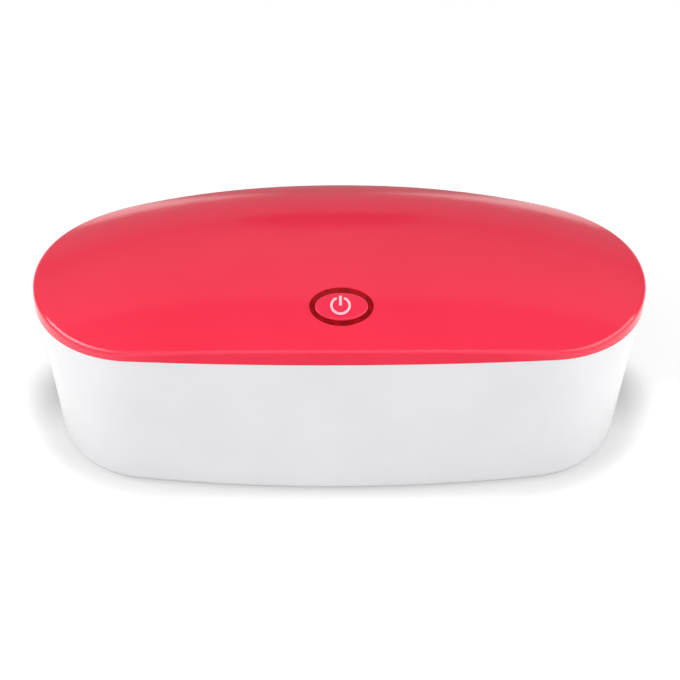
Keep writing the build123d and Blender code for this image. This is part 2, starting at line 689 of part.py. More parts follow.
def button_cap():
    """Hollow oval cap that follows the crown, with a lip under the ring and a stem."""
    under_lip = -LID_WALL - RING_LIP - BUTTON_GAP
    cap = crown_layer(ellipse_column(CAP_LENGTH, CAP_DEPTH), under_lip - CAP_LIP, CAP_PROUD)
    lip = ellipse_column(CAP_LENGTH + 2 * CAP_LIP, CAP_DEPTH + 2 * CAP_LIP)
    cap += crown_layer(lip, under_lip - CAP_LIP, under_lip)
    hollow = ellipse_column(CAP_LENGTH - 2 * CAP_WALL, CAP_DEPTH - 2 * CAP_WALL)
    cap -= hollow - over_crown(-CAP_SKIN)
    stem = cylinder(0, BUTTON_Y, SWITCH_TOP + PLUNGER_PROUD, TOP_STOCK, PLUNGER_RADIUS)
    return cap + (stem - over_crown(-CAP_SKIN / 2))


def indicator_led(side):
    """Lamp that lights the ring from below."""
    width, depth, height = INDICATOR_SIZE
    return block(side * CAP_LENGTH / 2, BUTTON_Y, CONTROL_TOP, CONTROL_TOP + height, width, depth)


def lid_sensor():
    """Magnet sensor under the control board, which stops the lamps when the lid opens."""
    width, depth, height = SENSOR_SIZE
    y = BUTTON_Y - CONTROL_DEPTH / 2 + depth
    return block(SENSOR_X - 2 * POST_RADIUS, y, CONTROL_UNDER - height, CONTROL_UNDER, width, depth)


def battery_pack():
    """Flat pouch cell with rounded long edges."""
    length, depth, height = BATTERY_SIZE
    cell = block(BATTERY_X, BATTERY_Y, battery_bed(), battery_bed() + height, length, depth)
    return fillet(cell.edges().filter_by(Axis.X), height / 4)


def socket_profile(growth, mouth, length):
    """Round-ended slot form of the charging socket, running forward from its mouth."""
    width, height = SOCKET_WIDTH + 2 * growth, SOCKET_HEIGHT + 2 * growth
    face = Plane((0, mouth, SOCKET_MID), x_dir=(1, 0, 0), z_dir=(0, -1, 0)) * SlotOverall(width, height)
    return extrude(face, length)


def socket_mouth():
    """Where the socket's open end lies."""
    return HALF_WIDTH - SOCKET_RECESS


def socket_board_front():
    """Front edge of the socket's board."""
    return socket_mouth() - SOCKET_LENGTH - SOCKET_BOARD[1] / 2


def usb_socket():
    """Charging socket: a thin metal shell with a tongue inside."""
    mouth = socket_mouth()
    shell = socket_profile(0, mouth, SOCKET_LENGTH)
    shell -= socket_profile(-SOCKET_WALL, mouth, SOCKET_LENGTH - SOCKET_WALL)
    tongue_length = SOCKET_LENGTH - SOCKET_RECESS
    tongue = Pos(0, mouth - SOCKET_LENGTH + tongue_length / 2, SOCKET_MID) * Box(
        TONGUE_WIDTH, tongue_length, TONGUE_THICKNESS)
    return shell + tongue


def usb_board():
    """Small board that holds the socket in a cut-out."""
    width, depth, thickness = SOCKET_BOARD
    front = socket_board_front()
    low = SOCKET_MID - thickness / 2
    board = block(0, front + depth / 2, low, low + thickness, width, depth)
    board -= block(0, socket_mouth() - SOCKET_LENGTH / 2, 0, TOP_STOCK,
                   SOCKET_WIDTH + 2 * SNUG, SOCKET_LENGTH + 2 * SNUG)
    for x, y, under, _ in board_posts():
        if under == low:
            board -= cylinder(x, y, 0, TOP_STOCK, BOARD_SCREW_RADIUS + SLIP)
    return board


def lead_pair(x, points):
    """Two round wires side by side, along a bent line in an upright plane across X."""
    wires = Part()
    for side in (0.5, -0.5):
        line = Plane((x + side * LEAD_PITCH, 0, 0), x_dir=(0, 1, 0), z_dir=(1, 0, 0)) * FilletPolyline(
            *points, radius=LEAD_BEND)
        start = Plane(origin=line @ 0, z_dir=line % 0)
        wires += sweep(start * Circle(LEAD_RADIUS), path=line)
    return wires


def led_leads():
    """Wires from the control board to the lamp board."""
    low, high = CONTROL_TOP, LED_BOARD_UNDER + BOARD_THICKNESS
    back = BUTTON_Y + CONTROL_DEPTH / 2
    loop = high + 2 * LEAD_BEND
    near, far = back - 2 * LEAD_BEND, -LED_BOARD_WIDTH / 2 + 2 * LEAD_BEND
    return lead_pair(LED_PITCH / 4, [(near, low), (near, loop), (far, loop), (far, high)])


def battery_leads():
    """Wires from the battery, over the lamp board, to the control board."""
    back = BUTTON_Y + CONTROL_DEPTH / 2
    loop = LED_BOARD_UNDER + BOARD_THICKNESS + BOARD_HEAD_HEIGHT + LEAD_RADIUS + SLIP
    middle = battery_bed() + BATTERY_SIZE[2] / 2
    edge = BATTERY_Y - BATTERY_SIZE[1] / 2
    rise, drop = LED_BOARD_WIDTH / 2 + LEAD_RADIUS + SLIP, back - 2 * LEAD_BEND
    return lead_pair(BATTERY_X + BATTERY_SIZE[0] / 2 - LEAD_PITCH,
                     [(edge, middle), (rise, middle), (rise, loop), (drop, loop), (drop, CONTROL_TOP)])


def usb_leads():
    """Wires from the charging board, over the lamp board, to the control board."""
    back = BUTTON_Y + CONTROL_DEPTH / 2
    loop = LED_BOARD_UNDER + BOARD_THICKNESS + BOARD_HEAD_HEIGHT + LEAD_RADIUS + SLIP
    start = socket_board_front() + POST_RADIUS
    return lead_pair(0, [(start, SOCKET_MID + SOCKET_BOARD[2] / 2), (start, loop),
                         (back - 2 * LEAD_BEND, loop), (back - 2 * LEAD_BEND, CONTROL_TOP)])


# Groups of fasteners

def tray_screws():
    """Screws under the feet, which pull the tray down."""
    return Part() + [pan_screw(x, y, HEAD_SEAT, TRAY_SCREW_RADIUS, TRAY_SCREW_LENGTH,
                               TRAY_HEAD_RADIUS, TRAY_HEAD_HEIGHT) for x, y in foot_points()]


def lid_screws():
    """Screws that hold the inner cover to the lid."""
    return Part() + [pan_screw(x, y, seam_at(x, COVER_UNDER) + COVER_HEAD_HEIGHT, COVER_SCREW_RADIUS,
                               COVER_SCREW_LENGTH, COVER_HEAD_RADIUS, COVER_HEAD_HEIGHT)
                     for x, y in cover_screw_points()]


def board_screws():
    """Screws that hold the boards on the cover's posts."""
    return Part() + [pan_screw(x, y, under + thickness, BOARD_SCREW_RADIUS, BOARD_SCREW_LENGTH,
                               BOARD_HEAD_RADIUS, BOARD_HEAD_HEIGHT, up=-1)
                     for x, y, under, thickness in board_posts()]


def build():
    """Make every piece and save it."""
    os.makedirs("parts", exist_ok=True)

    write("base_shell", base_shell())
    write("tray_liner", tray_liner())
    write("tray_screws", tray_screws())
    for y, front in ((-FOOT_Y, "front"), (FOOT_Y, "rear")):
        write(f"foot_{front}_left", Pos(-FOOT_X, y, 0) * foot())
        write(f"foot_{front}_right", Pos(FOOT_X, y, 0) * foot())
    for side, name in ((-1, "left"), (1, "right")):
        write(f"hinge_pin_{name}", across(side * HINGE_X, HINGE_Y, HINGE_Z, PIN_LENGTH, PIN_RADIUS))
        write(f"base_magnet_{name}", base_magnet(side * MAGNET_X, MAGNET_RADIUS))
        write(f"lid_bumper_{name}", lid_bumper(side))
        write(f"lid_magnet_{name}", lid_magnet(side * MAGNET_X))
        write(f"ring_led_{name}", indicator_led(side))
    write("sensor_magnet", base_magnet(SENSOR_X, SENSOR_MAGNET_RADIUS))

    form = lid_form()
    write("lid_shell", lid_shell(form))
    write("lid_inner_cover", lid_inner_cover())
    write("light_trap_skirt", light_trap_skirt())
    write("lid_screws", lid_screws())
    write("uv_led_board", led_board())
    for number, x in enumerate(LED_X, 1):
        write(f"uvc_led_{number}", uvc_led(x))
        write(f"uv_window_{number}", uv_window(x))
    write("control_board", control_board())
    write("switch_body", switch_body())
    write("light_ring", light_ring())
    write("lid_sensor", lid_sensor())
    write("battery_pack", battery_pack())
    write("usb_socket", usb_socket())
    write("usb_board", usb_board())
    write("board_screws", board_screws())
    write("led_leads", led_leads())
    write("battery_leads", battery_leads())
    write("usb_leads", usb_leads())

    write("button_cap", button_cap())
    write("switch_plunger", switch_plunger())


build()
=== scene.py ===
"""Looks of an ultraviolet cleaning box for small toys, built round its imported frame."""
import logging
import math
from dataclasses import dataclass, field
from enum import Enum
from typing import Any

import bmesh
import bpy
from mathutils import Matrix, Vector


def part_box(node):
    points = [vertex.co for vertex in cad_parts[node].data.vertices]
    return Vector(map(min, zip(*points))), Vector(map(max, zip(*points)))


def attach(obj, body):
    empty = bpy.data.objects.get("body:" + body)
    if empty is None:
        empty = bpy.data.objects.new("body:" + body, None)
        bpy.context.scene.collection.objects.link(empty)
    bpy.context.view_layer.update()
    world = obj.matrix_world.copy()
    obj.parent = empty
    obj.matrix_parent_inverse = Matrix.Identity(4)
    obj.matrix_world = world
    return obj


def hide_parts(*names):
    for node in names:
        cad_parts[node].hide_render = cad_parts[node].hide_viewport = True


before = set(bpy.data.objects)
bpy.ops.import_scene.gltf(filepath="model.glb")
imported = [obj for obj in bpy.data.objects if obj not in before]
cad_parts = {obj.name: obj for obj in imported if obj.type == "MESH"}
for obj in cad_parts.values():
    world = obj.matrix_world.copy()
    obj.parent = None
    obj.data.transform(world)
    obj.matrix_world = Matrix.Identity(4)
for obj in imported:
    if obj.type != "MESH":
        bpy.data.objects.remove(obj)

LOG = logging.getLogger("cleaning_box")
MM = 0.001
LAMPS = 6
WHITE = (1.0, 1.0, 1.0)
Colour = tuple[float, float, float]


class Body(str, Enum):
    """The rigid bodies of the box."""

    BASE = "base"
    LID = "lid"
    BUTTON = "button"


# Shader maths


def linear(red: int, green: int, blue: int) -> Colour:
    """Turn a display colour into the light it stands for.

    Args:
        red: Red from 0 to 255.
        green: Green from 0 to 255.
        blue: Blue from 0 to 255.

    Returns:
        The three linear components.
    """
    parts = (c / 255 for c in (red, green, blue))
    return tuple(c / 12.92 if c <= 0.04045 else ((c + 0.055) / 1.055) ** 2.4 for c in parts)


class Signal:
    """A shader socket whose operators add Math nodes."""

    def __init__(self, recipe: "Recipe", socket: bpy.types.NodeSocket) -> None:
        """Keep the socket and the recipe that it belongs to."""
        self.recipe = recipe
        self.socket = socket

    def __add__(self, other: "Signal | float") -> "Signal":
        """Add."""
        return self.recipe.math("ADD", self, other)

    def __radd__(self, other: float) -> "Signal":
        """Add to a number."""
        return self.recipe.math("ADD", other, self)

    def __sub__(self, other: "Signal | float") -> "Signal":
        """Subtract."""
        return self.recipe.math("SUBTRACT", self, other)

    def __rsub__(self, other: float) -> "Signal":
        """Subtract from a number."""
        return self.recipe.math("SUBTRACT", other, self)

    def __mul__(self, other: "Signal | float") -> "Signal":
        """Multiply."""
        return self.recipe.math("MULTIPLY", self, other)

    def __rmul__(self, other: float) -> "Signal":
        """Multiply a number."""
        return self.recipe.math("MULTIPLY", other, self)

    def __truediv__(self, other: "Signal | float") -> "Signal":
        """Divide."""
        return self.recipe.math("DIVIDE", self, other)

    def __gt__(self, other: "Signal | float") -> "Signal":
        """Give 1 where this is the greater."""
        return self.recipe.math("GREATER_THAN", self, other)

    def __lt__(self, other: "Signal | float") -> "Signal":
        """Give 1 where this is the lesser."""
        return self.recipe.math("LESS_THAN", self, other)


class Recipe:
    """The node tree of one material, filled by a finish."""

    def __init__(self, name: str) -> None:
        """Start an empty material with an output."""
        self.material = bpy.data.materials.new(name)
        self.material.use_nodes = True
        self.tree = self.material.node_tree
        self.tree.nodes.clear()
        self.output = self.tree.nodes.new("ShaderNodeOutputMaterial")

    def feed(self, socket: bpy.types.NodeSocket, value: Any) -> None:
        """Link a signal to a socket, or set the socket's own value.

        Args:
            socket: The input to feed.
            value: A Signal, a number, a vector or a linear colour.
        """
        if isinstance(value, Signal):
            self.tree.links.new(value.socket, socket)
        elif socket.type == "RGBA" and len(value) == 3:
            socket.default_value = (*value, 1.0)
        else:
            socket.default_value = value

    def node(self, kind: str, settings: dict[str, Any] | None = None,
             inputs: dict[int | str, Any] | None = None, output: int | str = 0) -> Signal:
        """Add one node.

        Args:
            kind: The node's type.
            settings: Its own settings.
            inputs: What feeds its sockets, by name or number.
            output: The output to give back.

        Returns:
            The chosen output.
        """
        made = self.tree.nodes.new(kind)
        for name, value in (settings or {}).items():
            setattr(made, name, value)
        for name, value in (inputs or {}).items():
            self.feed(made.inputs[name], value)
        return Signal(self, made.outputs[output])

    def math(self, operation: str, *values: "Signal | float") -> Signal:
        """Add a Math node on one, two or three values."""
        return self.node("ShaderNodeMath", {"operation": operation}, dict(enumerate(values)))

    def place(self) -> Signal:
        """Object coordinates, in metres, which are the box's own."""
        return self.node("ShaderNodeTexCoord", output="Object")

    def axes(self) -> tuple[Signal, Signal, Signal]:
        """The three object coordinates apart."""
        split = self.node("ShaderNodeSeparateXYZ", inputs={0: self.place()})
        outputs = split.socket.node.outputs
        return tuple(Signal(self, outputs[i]) for i in range(3))

    def stretched(self, scale: tuple[float, float, float]) -> Signal:
        """Object coordinates scaled apart along each axis."""
        return self.node("ShaderNodeMapping", inputs={"Vector": self.place(), "Scale": scale})

    def noise(self, size: float, detail: float = 2.0, vector: Signal | None = None) -> Signal:
        """Soft noise whose patches are about this size.

        Args:
            size: Patch size in millimetres.
            detail: Octaves.
            vector: Coordinates to use in place of the object's own.

        Returns:
            A value about 0.5.
        """
        return self.node("ShaderNodeTexNoise", {}, {
            "Vector": vector or self.place(), "Scale": 1 / (size * MM), "Detail": detail})

    def smooth(self, value: Signal, low: float, high: float) -> Signal:
        """Ease a value from 0 at low to 1 at high.

        Args:
            value: What to ease.
            low: Where the result is 0.
            high: Where the result is 1.

        Returns:
            The eased value.
        """
        return self.node("ShaderNodeMapRange", {"interpolation_type": "SMOOTHSTEP"}, {
            "Value": value, "From Min": low, "From Max": high})

    def mix(self, factor: "Signal | float", first: Any, second: Any) -> Signal:
        """Mix two colours.

        Args:
            factor: Share of the second.
            first: Linear colour or signal at 0.
            second: Linear colour or signal at 1.

        Returns:
            The mixed colour.
        """
        return self.node("ShaderNodeMix", {"data_type": "RGBA"}, {0: factor, 6: first, 7: second}, 2)

    def bump(self, height: Signal, depth: float, strength: float = 1.0) -> Signal:
        """Normal of a surface that rises with a height signal.

        Args:
            height: Height from 0 to 1.
            depth: Real height of 1, in millimetres.
            strength: Share of the effect.

        Returns:
            The normal.
        """
        return self.node("ShaderNodeBump", {}, {
            "Height": height, "Distance": depth * MM, "Strength": strength})

    def surface(self, **inputs: Any) -> Signal:
        """Add the surface shader and connect it.

        Args:
            inputs: What feeds its sockets, with an underscore for each space.

        Returns:
            The shader.
        """
        named = {name.replace("_", " "): value for name, value in inputs.items()}
        shader = self.node("ShaderNodeBsdfPrincipled", {}, named)
        self.tree.links.new(shader.socket, self.output.inputs["Surface"])
        return shader


# Finishes


@dataclass(frozen=True)
class Finish:
    """A finish with a name, made once and shared by the pieces that have it."""

    name: str

    def fill(self, recipe: Recipe) -> None:
        """Put the finish's nodes into a recipe."""
        raise NotImplementedError

    def material(self) -> bpy.types.Material:
        """The finish as a material, made the first time that it is asked for."""
        known = bpy.data.materials.get(self.name)
        if known:
            return known
        recipe = Recipe(self.name)
        self.fill(recipe)
        return recipe.material


@dataclass(frozen=True)
class PolishedPlastic(Finish):
    """Solid-coloured plastic from a polished mould, with faint flow and rub marks."""

    colour: Colour = (0.8, 0.8, 0.8)
    shade: Colour = (0.75, 0.75, 0.75)
    roughness: float = 0.16
    waviness: float = 0.012

    def fill(self, recipe: Recipe) -> None:
        """Cloudy colour, rubbed gloss and a very slight wave from moulding."""
        cloud = recipe.noise(38, 2)
        rub = recipe.noise(7, 4)
        streak = recipe.noise(3, 3, recipe.stretched((0.15, 1, 1)))
        dust = recipe.smooth(recipe.noise(0.9, 2), 0.66, 0.74)
        recipe.surface(
            Base_Color=recipe.mix(recipe.smooth(cloud, 0.35, 0.7), self.colour, self.shade),
            Roughness=self.roughness + (rub - 0.5) * 0.05 + (streak - 0.5) * 0.03 + dust * 0.04,
            Normal=recipe.bump(recipe.noise(11, 1), self.waviness),
            IOR=1.5,
        )


@dataclass(frozen=True)
class MetallisedPlastic(Finish):
    """Bright aluminium flashed onto moulded plastic, with a slight ripple."""

    colour: Colour = (0.83, 0.84, 0.86)
    roughness: float = 0.14

    def fill(self, recipe: Recipe) -> None:
        """Bright metal whose gloss is a little uneven."""
        ripple = recipe.noise(16, 2)
        haze = recipe.noise(5, 4)
        recipe.surface(
            Base_Color=recipe.mix(recipe.smooth(haze, 0.4, 0.8), self.colour, (0.76, 0.77, 0.79)),
            Metallic=1.0,
            Roughness=self.roughness + (haze - 0.5) * 0.12,
            Normal=recipe.bump(ripple, 0.06),
        )


@dataclass(frozen=True)
class TurnedMetal(Finish):
    """Plated metal with fine turning marks."""

    colour: Colour = (0.62, 0.62, 0.6)
    roughness: float = 0.25

    def fill(self, recipe: Recipe) -> None:
        """Grey metal with tiny scratches and a dull film here and there."""
        marks = recipe.noise(0.25, 3, recipe.stretched((1, 6, 1)))
        film = recipe.smooth(recipe.noise(2.4, 3), 0.5, 0.8)
        recipe.surface(
            Base_Color=recipe.mix(film, self.colour, tuple(0.7 * c for c in self.colour)),
            Metallic=1.0,
            Roughness=self.roughness + marks * 0.1 + film * 0.12,
            Normal=recipe.bump(marks, 0.004),
        )


@dataclass(frozen=True)
class SoftRubber(Finish):
    """Matt elastomer with a fine grain."""

    colour: Colour = (0.05, 0.05, 0.052)

    def fill(self, recipe: Recipe) -> None:
        """Grainy matt surface with pale scuffs."""
        grain = recipe.noise(0.35, 2)
        scuff = recipe.smooth(recipe.noise(3.2, 4), 0.55, 0.75)
        recipe.surface(
            Base_Color=recipe.mix(scuff * 0.4, self.colour, tuple(2.2 * c for c in self.colour)),
            Roughness=0.72 + grain * 0.14,
            Normal=recipe.bump(grain, 0.03),
        )


@dataclass(frozen=True)
class ClearWindow(Finish):
    """Thin clear plate that lets what lies behind it show."""

    colour: Colour = (0.9, 0.92, 0.95)
    roughness: float = 0.03
    index: float = 1.46
    body: float = 0.22

    def fill(self, recipe: Recipe) -> None:
        """Faint body with a slightly uneven polish."""
        polish = recipe.noise(1.6, 3)
        recipe.surface(
            Base_Color=recipe.mix(recipe.smooth(polish, 0.3, 0.7), self.colour,
                                  tuple(0.85 * c for c in self.colour)),
            Roughness=self.roughness + (polish - 0.5) * 0.04,
            IOR=self.index,
            Alpha=self.body,
        )


@dataclass(frozen=True)
class GlowRing(Finish):
    """Unlit red ring with slightly uneven facets."""

    colour: Colour = (0.42, 0.0006, 0.004)
    deep: Colour = (0.26, 0.0003, 0.002)
    facets_per_metre: float = 620.0

    def fill(self, recipe: Recipe) -> None:
        """Deep red body under a thin, uneven polish."""
        facet = recipe.node("ShaderNodeTexVoronoi", {}, {
            "Vector": recipe.place(), "Scale": self.facets_per_metre}, "Color")
        depth = recipe.noise(3.4, 2)
        cell = recipe.node("ShaderNodeSeparateColor", {}, {0: facet})
        recipe.surface(
            Base_Color=recipe.mix(recipe.smooth(depth, 0.35, 0.65), self.colour, self.deep),
            Roughness=0.06 + cell * 0.1,
            Normal=recipe.bump(cell, 0.2, 0.8),
            Transmission_Weight=0.06,
            Specular_IOR_Level=0.22,
            IOR=1.49,
        )


@dataclass(frozen=True)
class PrintedInk(Finish):
    """Screen-printed ink with a slightly uneven film."""

    colour: Colour = (0.95, 0.62, 0.68)
    thin: Colour = (0.93, 0.5, 0.58)

    def fill(self, recipe: Recipe) -> None:
        """Pale ink that lets a little of the red below show through."""
        film = recipe.noise(0.5, 3)
        recipe.surface(
            Base_Color=recipe.mix(recipe.smooth(film, 0.4, 0.75), self.colour, self.thin),
            Roughness=0.34 + film * 0.1,
            Normal=recipe.bump(film, 0.01),
        )


@dataclass(frozen=True)
class CircuitBoard(Finish):
    """Glass-fibre board with a lacquer and faint tracks under it."""

    lacquer: Colour = (0.01, 0.11, 0.045)
    track: Colour = (0.03, 0.2, 0.08)
    pitch: float = 1.27

    def fill(self, recipe: Recipe) -> None:
        """Two sets of thin tracks that show in patches through the lacquer."""
        x, y, _ = recipe.axes()
        step = self.pitch * MM
        along = recipe.math("ABSOLUTE", recipe.math("PINGPONG", x, step) - step / 2) > step * 0.32
        over = recipe.math("ABSOLUTE", recipe.math("PINGPONG", y, step) - step / 2) > step * 0.32
        patch = recipe.noise(9, 0) > 0.5
        track = along * patch + over * (1 - patch)
        weave = recipe.noise(0.6, 2)
        recipe.surface(
            Base_Color=recipe.mix(track, self.lacquer, self.track),
            Roughness=0.32 + weave * 0.12,
            Normal=recipe.bump(track, 0.03),
        )


@dataclass(frozen=True)
class MouldedPlastic(Finish):
    """Fine-grained plastic from a spark-eroded mould."""

    colour: Colour = (0.02, 0.02, 0.021)
    roughness: float = 0.42
    grain: float = 0.35

    def fill(self, recipe: Recipe) -> None:
        """Fine grain with slightly cloudy colour."""
        grain = recipe.noise(self.grain, 2)
        cloud = recipe.noise(8, 2)
        recipe.surface(
            Base_Color=recipe.mix(recipe.smooth(cloud, 0.3, 0.8), self.colour,
                                  tuple(min(1.0, 1.25 * c) for c in self.colour)),
            Roughness=self.roughness + grain * 0.1,
            Normal=recipe.bump(grain, 0.012),
        )


@dataclass(frozen=True)
class TwoLeads(Finish):
    """Sleeves of a pair of wires, one red and one black."""

    middle: float = 0.0
    live: Colour = (0.5, 0.012, 0.012)
    plain: Colour = (0.015, 0.015, 0.015)

    def fill(self, recipe: Recipe) -> None:
        """Red to the right of the pair's middle, and black to its left."""
        x, _, _ = recipe.axes()
        sleeve = recipe.noise(0.8, 2)
        recipe.surface(
            Base_Color=recipe.mix(x > self.middle * MM, self.plain, self.live),
            Roughness=0.38 + sleeve * 0.12,
            Normal=recipe.bump(sleeve, 0.02),
        )


LID_RED = PolishedPlastic("lid coral gloss", linear(246, 46, 76), linear(244, 43, 73), 0.15)
BUTTON_RED = PolishedPlastic("button coral gloss", linear(245, 45, 78), linear(242, 42, 74), 0.2)
BASE_WHITE = PolishedPlastic("base white gloss", linear(239, 239, 241), linear(236, 236, 238), 0.14)
REFLECTOR = MetallisedPlastic("aluminium flash")
COVER_SATIN = MetallisedPlastic("satin flash", (0.64, 0.65, 0.67), 0.3)
STEEL = TurnedMetal("zinc plated steel")
# Dark steel for the cross drives: painted shade in the screws' recesses.
DRIVE_PAINTED_SHADE = TurnedMetal("shaded steel", (0.09, 0.09, 0.09), 0.5)
GOLD = TurnedMetal("gold plate", (0.78, 0.52, 0.2), 0.22)
NICKEL = TurnedMetal("nickel plate", (0.7, 0.68, 0.63), 0.16)
RUBBER = SoftRubber("grey rubber", (0.16, 0.16, 0.165))
RING_CLEAR = GlowRing("clear red ring")
PRINT_WHITE = PrintedInk("symbol white")
QUARTZ = ClearWindow("clear fused quartz")
BOARD_GREEN = CircuitBoard("green circuit board")
BOARD_WHITE = CircuitBoard("white lamp board", (0.78, 0.78, 0.75), (0.68, 0.68, 0.65), 2.54)
CERAMIC = MouldedPlastic("lamp ceramic", (0.75, 0.74, 0.7), 0.3, 0.2)
BLACK_MOULD = MouldedPlastic("black component")
INDICATOR = MouldedPlastic("indicator white", (0.7, 0.7, 0.66), 0.3, 0.2)
CELL_FOIL = MetallisedPlastic("cell foil", (0.6, 0.61, 0.62), 0.34)
LEADS = TwoLeads("lead sleeves")


# Mesh helpers


@dataclass(frozen=True)
class Crown:
    """Domed top of the lid, in millimetres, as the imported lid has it."""

    half_length: float = 131.0
    half_width: float = 55.0
    seam: float = 82.5
    arc: float = 1229.32
    rim: float = 7.5
    rise: float = 12.2
    power: float = 2.6
    corner: float = 2.2

    def height(self, x: float, y: float) -> float:
        """Height of the crown at a place in plan.

        Args:
            x: Place along the length.
            y: Place across the width.

        Returns:
            The height.
        """
        share = abs(x / self.half_length) ** self.corner + abs(y / self.half_width) ** self.corner
        level = self.seam - self.arc + math.sqrt(self.arc**2 - x**2)
        return level + self.rim + self.rise * (1 - share ** (self.power / self.corner))


def spun(form: bmesh.types.BMesh, profile: list[tuple[float, float]], steps: int = 96,
         start: float = 0.0, sweep: float = 360.0) -> list[bmesh.types.BMVert]:
    """Spin a line of points about the upright axis.

    Args:
        form: Where the surface goes.
        profile: Radius and height of each point, in millimetres.
        steps: Steps of the spin.
        start: Angle of the profile, in degrees from X.
        sweep: How far it turns, in degrees.

    Returns:
        The points of the surface.
    """
    before = len(form.verts)
    turn = Matrix.Rotation(math.radians(start), 4, "Z")
    points = [form.verts.new(turn @ Vector((radius, 0, height))) for radius, height in profile]
    lines = [form.edges.new(pair) for pair in zip(points, points[1:])]
    full = math.isclose(sweep, 360.0)
    bmesh.ops.spin(form, geom=points + lines, axis=(0, 0, 1), cent=(0, 0, 0), steps=steps,
                   angle=math.radians(sweep), use_merge=full)
    return list(form.verts)[before:]


def settle(form: bmesh.types.BMesh, name: str, finish: Finish, body: Body,
           sharp: float = 35.0) -> bpy.types.Object:
    """Turn a form in millimetres into a finished object that rides a body.

    Args:
        form: The form, which is used up.
        name: Name of the object.
        finish: Its finish.
        body: The body that it moves with.
        sharp: Edges sharper than this many degrees stay crisp.

    Returns:
        The object.
    """
    bmesh.ops.remove_doubles(form, verts=form.verts, dist=1e-4)
    bmesh.ops.recalc_face_normals(form, faces=form.faces)
    for face in form.faces:
        face.smooth = True
    for edge in form.edges:
        edge.smooth = edge.calc_face_angle(0) < math.radians(sharp)
    bmesh.ops.scale(form, vec=(MM, MM, MM), verts=form.verts)
    mesh = bpy.data.meshes.new(name)
    form.to_mesh(mesh)
    form.free()
    mesh.materials.append(finish.material())
    made = bpy.data.objects.new(name, mesh)
    bpy.context.scene.collection.objects.link(made)
    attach(made, body.value)
    return made


# Sub-assemblies


@dataclass
class SubAssembly:
    """Pieces of the box that belong together."""

    finishes: dict[str, Finish] = field(default_factory=dict)

    def dress(self) -> None:
        """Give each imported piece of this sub-assembly its finish."""
        for node, finish in self.finishes.items():
            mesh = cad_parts[node].data
            mesh.materials.clear()
            mesh.materials.append(finish.material())
            LOG.info("dressed %s in %s", node, finish.name)

    def build(self) -> None:
        """Add this sub-assembly's own pieces."""


@dataclass(frozen=True)
class Softbox:
    """One rectangular soft light, in metres and watts, that faces its aim."""

    name: str
    place: tuple[float, float, float]
    size: tuple[float, float]
    watts: float
    aim: tuple[float, float, float] = (0, 0, 0.05)

    def hang(self) -> None:
        """Add the light to the scene."""
        data = bpy.data.lights.new(self.name, "AREA")
        data.shape = "RECTANGLE"
        data.size, data.size_y = self.size
        data.energy = self.watts
        lamp = bpy.data.objects.new(self.name, data)
        lamp.location = self.place
        way = Vector(self.aim) - Vector(self.place)
        lamp.rotation_euler = way.to_track_quat("-Z", "Y").to_euler()
        bpy.context.scene.collection.objects.link(lamp)


@dataclass(frozen=True)
class Card:
    """One evenly glowing card that shows only in reflections, in metres."""

    name: str
    size: tuple[float, float]
    place: tuple[float, float, float]
    aim: tuple[float, float, float]
    dark: float

    def glow(self, recipe: Recipe) -> Signal | float:
        """The card's brightness, the same all over."""
        return self.dark


@dataclass(frozen=True)
class SideCard(Card):
    """Card at one side, which fades toward the front."""

    gain: float
    fade: tuple[float, float]

    def glow(self, recipe: Recipe) -> Signal:
        """Brightness that grows from dark by the gain, along the card."""
        x, _, _ = recipe.axes()
        return self.dark + recipe.smooth(x, *self.fade) * self.gain


@dataclass(frozen=True)
class OverheadCard(Card):
    """Card above the box, with a dim lens near its far edge."""

    gain: float = 0.27
    fade: tuple[float, float] = (1.15, -0.4)
    lens_middle: float = 1.1
    lens_half: tuple[float, float] = (0.38, 0.95)
    lens_edge: tuple[float, float] = (1.1, 0.6)
    lens_depth: float = 0.75

    def glow(self, recipe: Recipe) -> Signal:
        """Brightness that grows from dark by the gain, less the lens."""
        x, y, _ = recipe.axes()
        even = recipe.smooth(y, *self.fade) * self.gain + self.dark
        across = recipe.math("POWER", x / self.lens_half[0], 2.0)
        along = recipe.math("POWER", (y - self.lens_middle) / self.lens_half[1], 2.0)
        lens = recipe.smooth(across + along, *self.lens_edge)
        return even * (1 - lens * self.lens_depth)


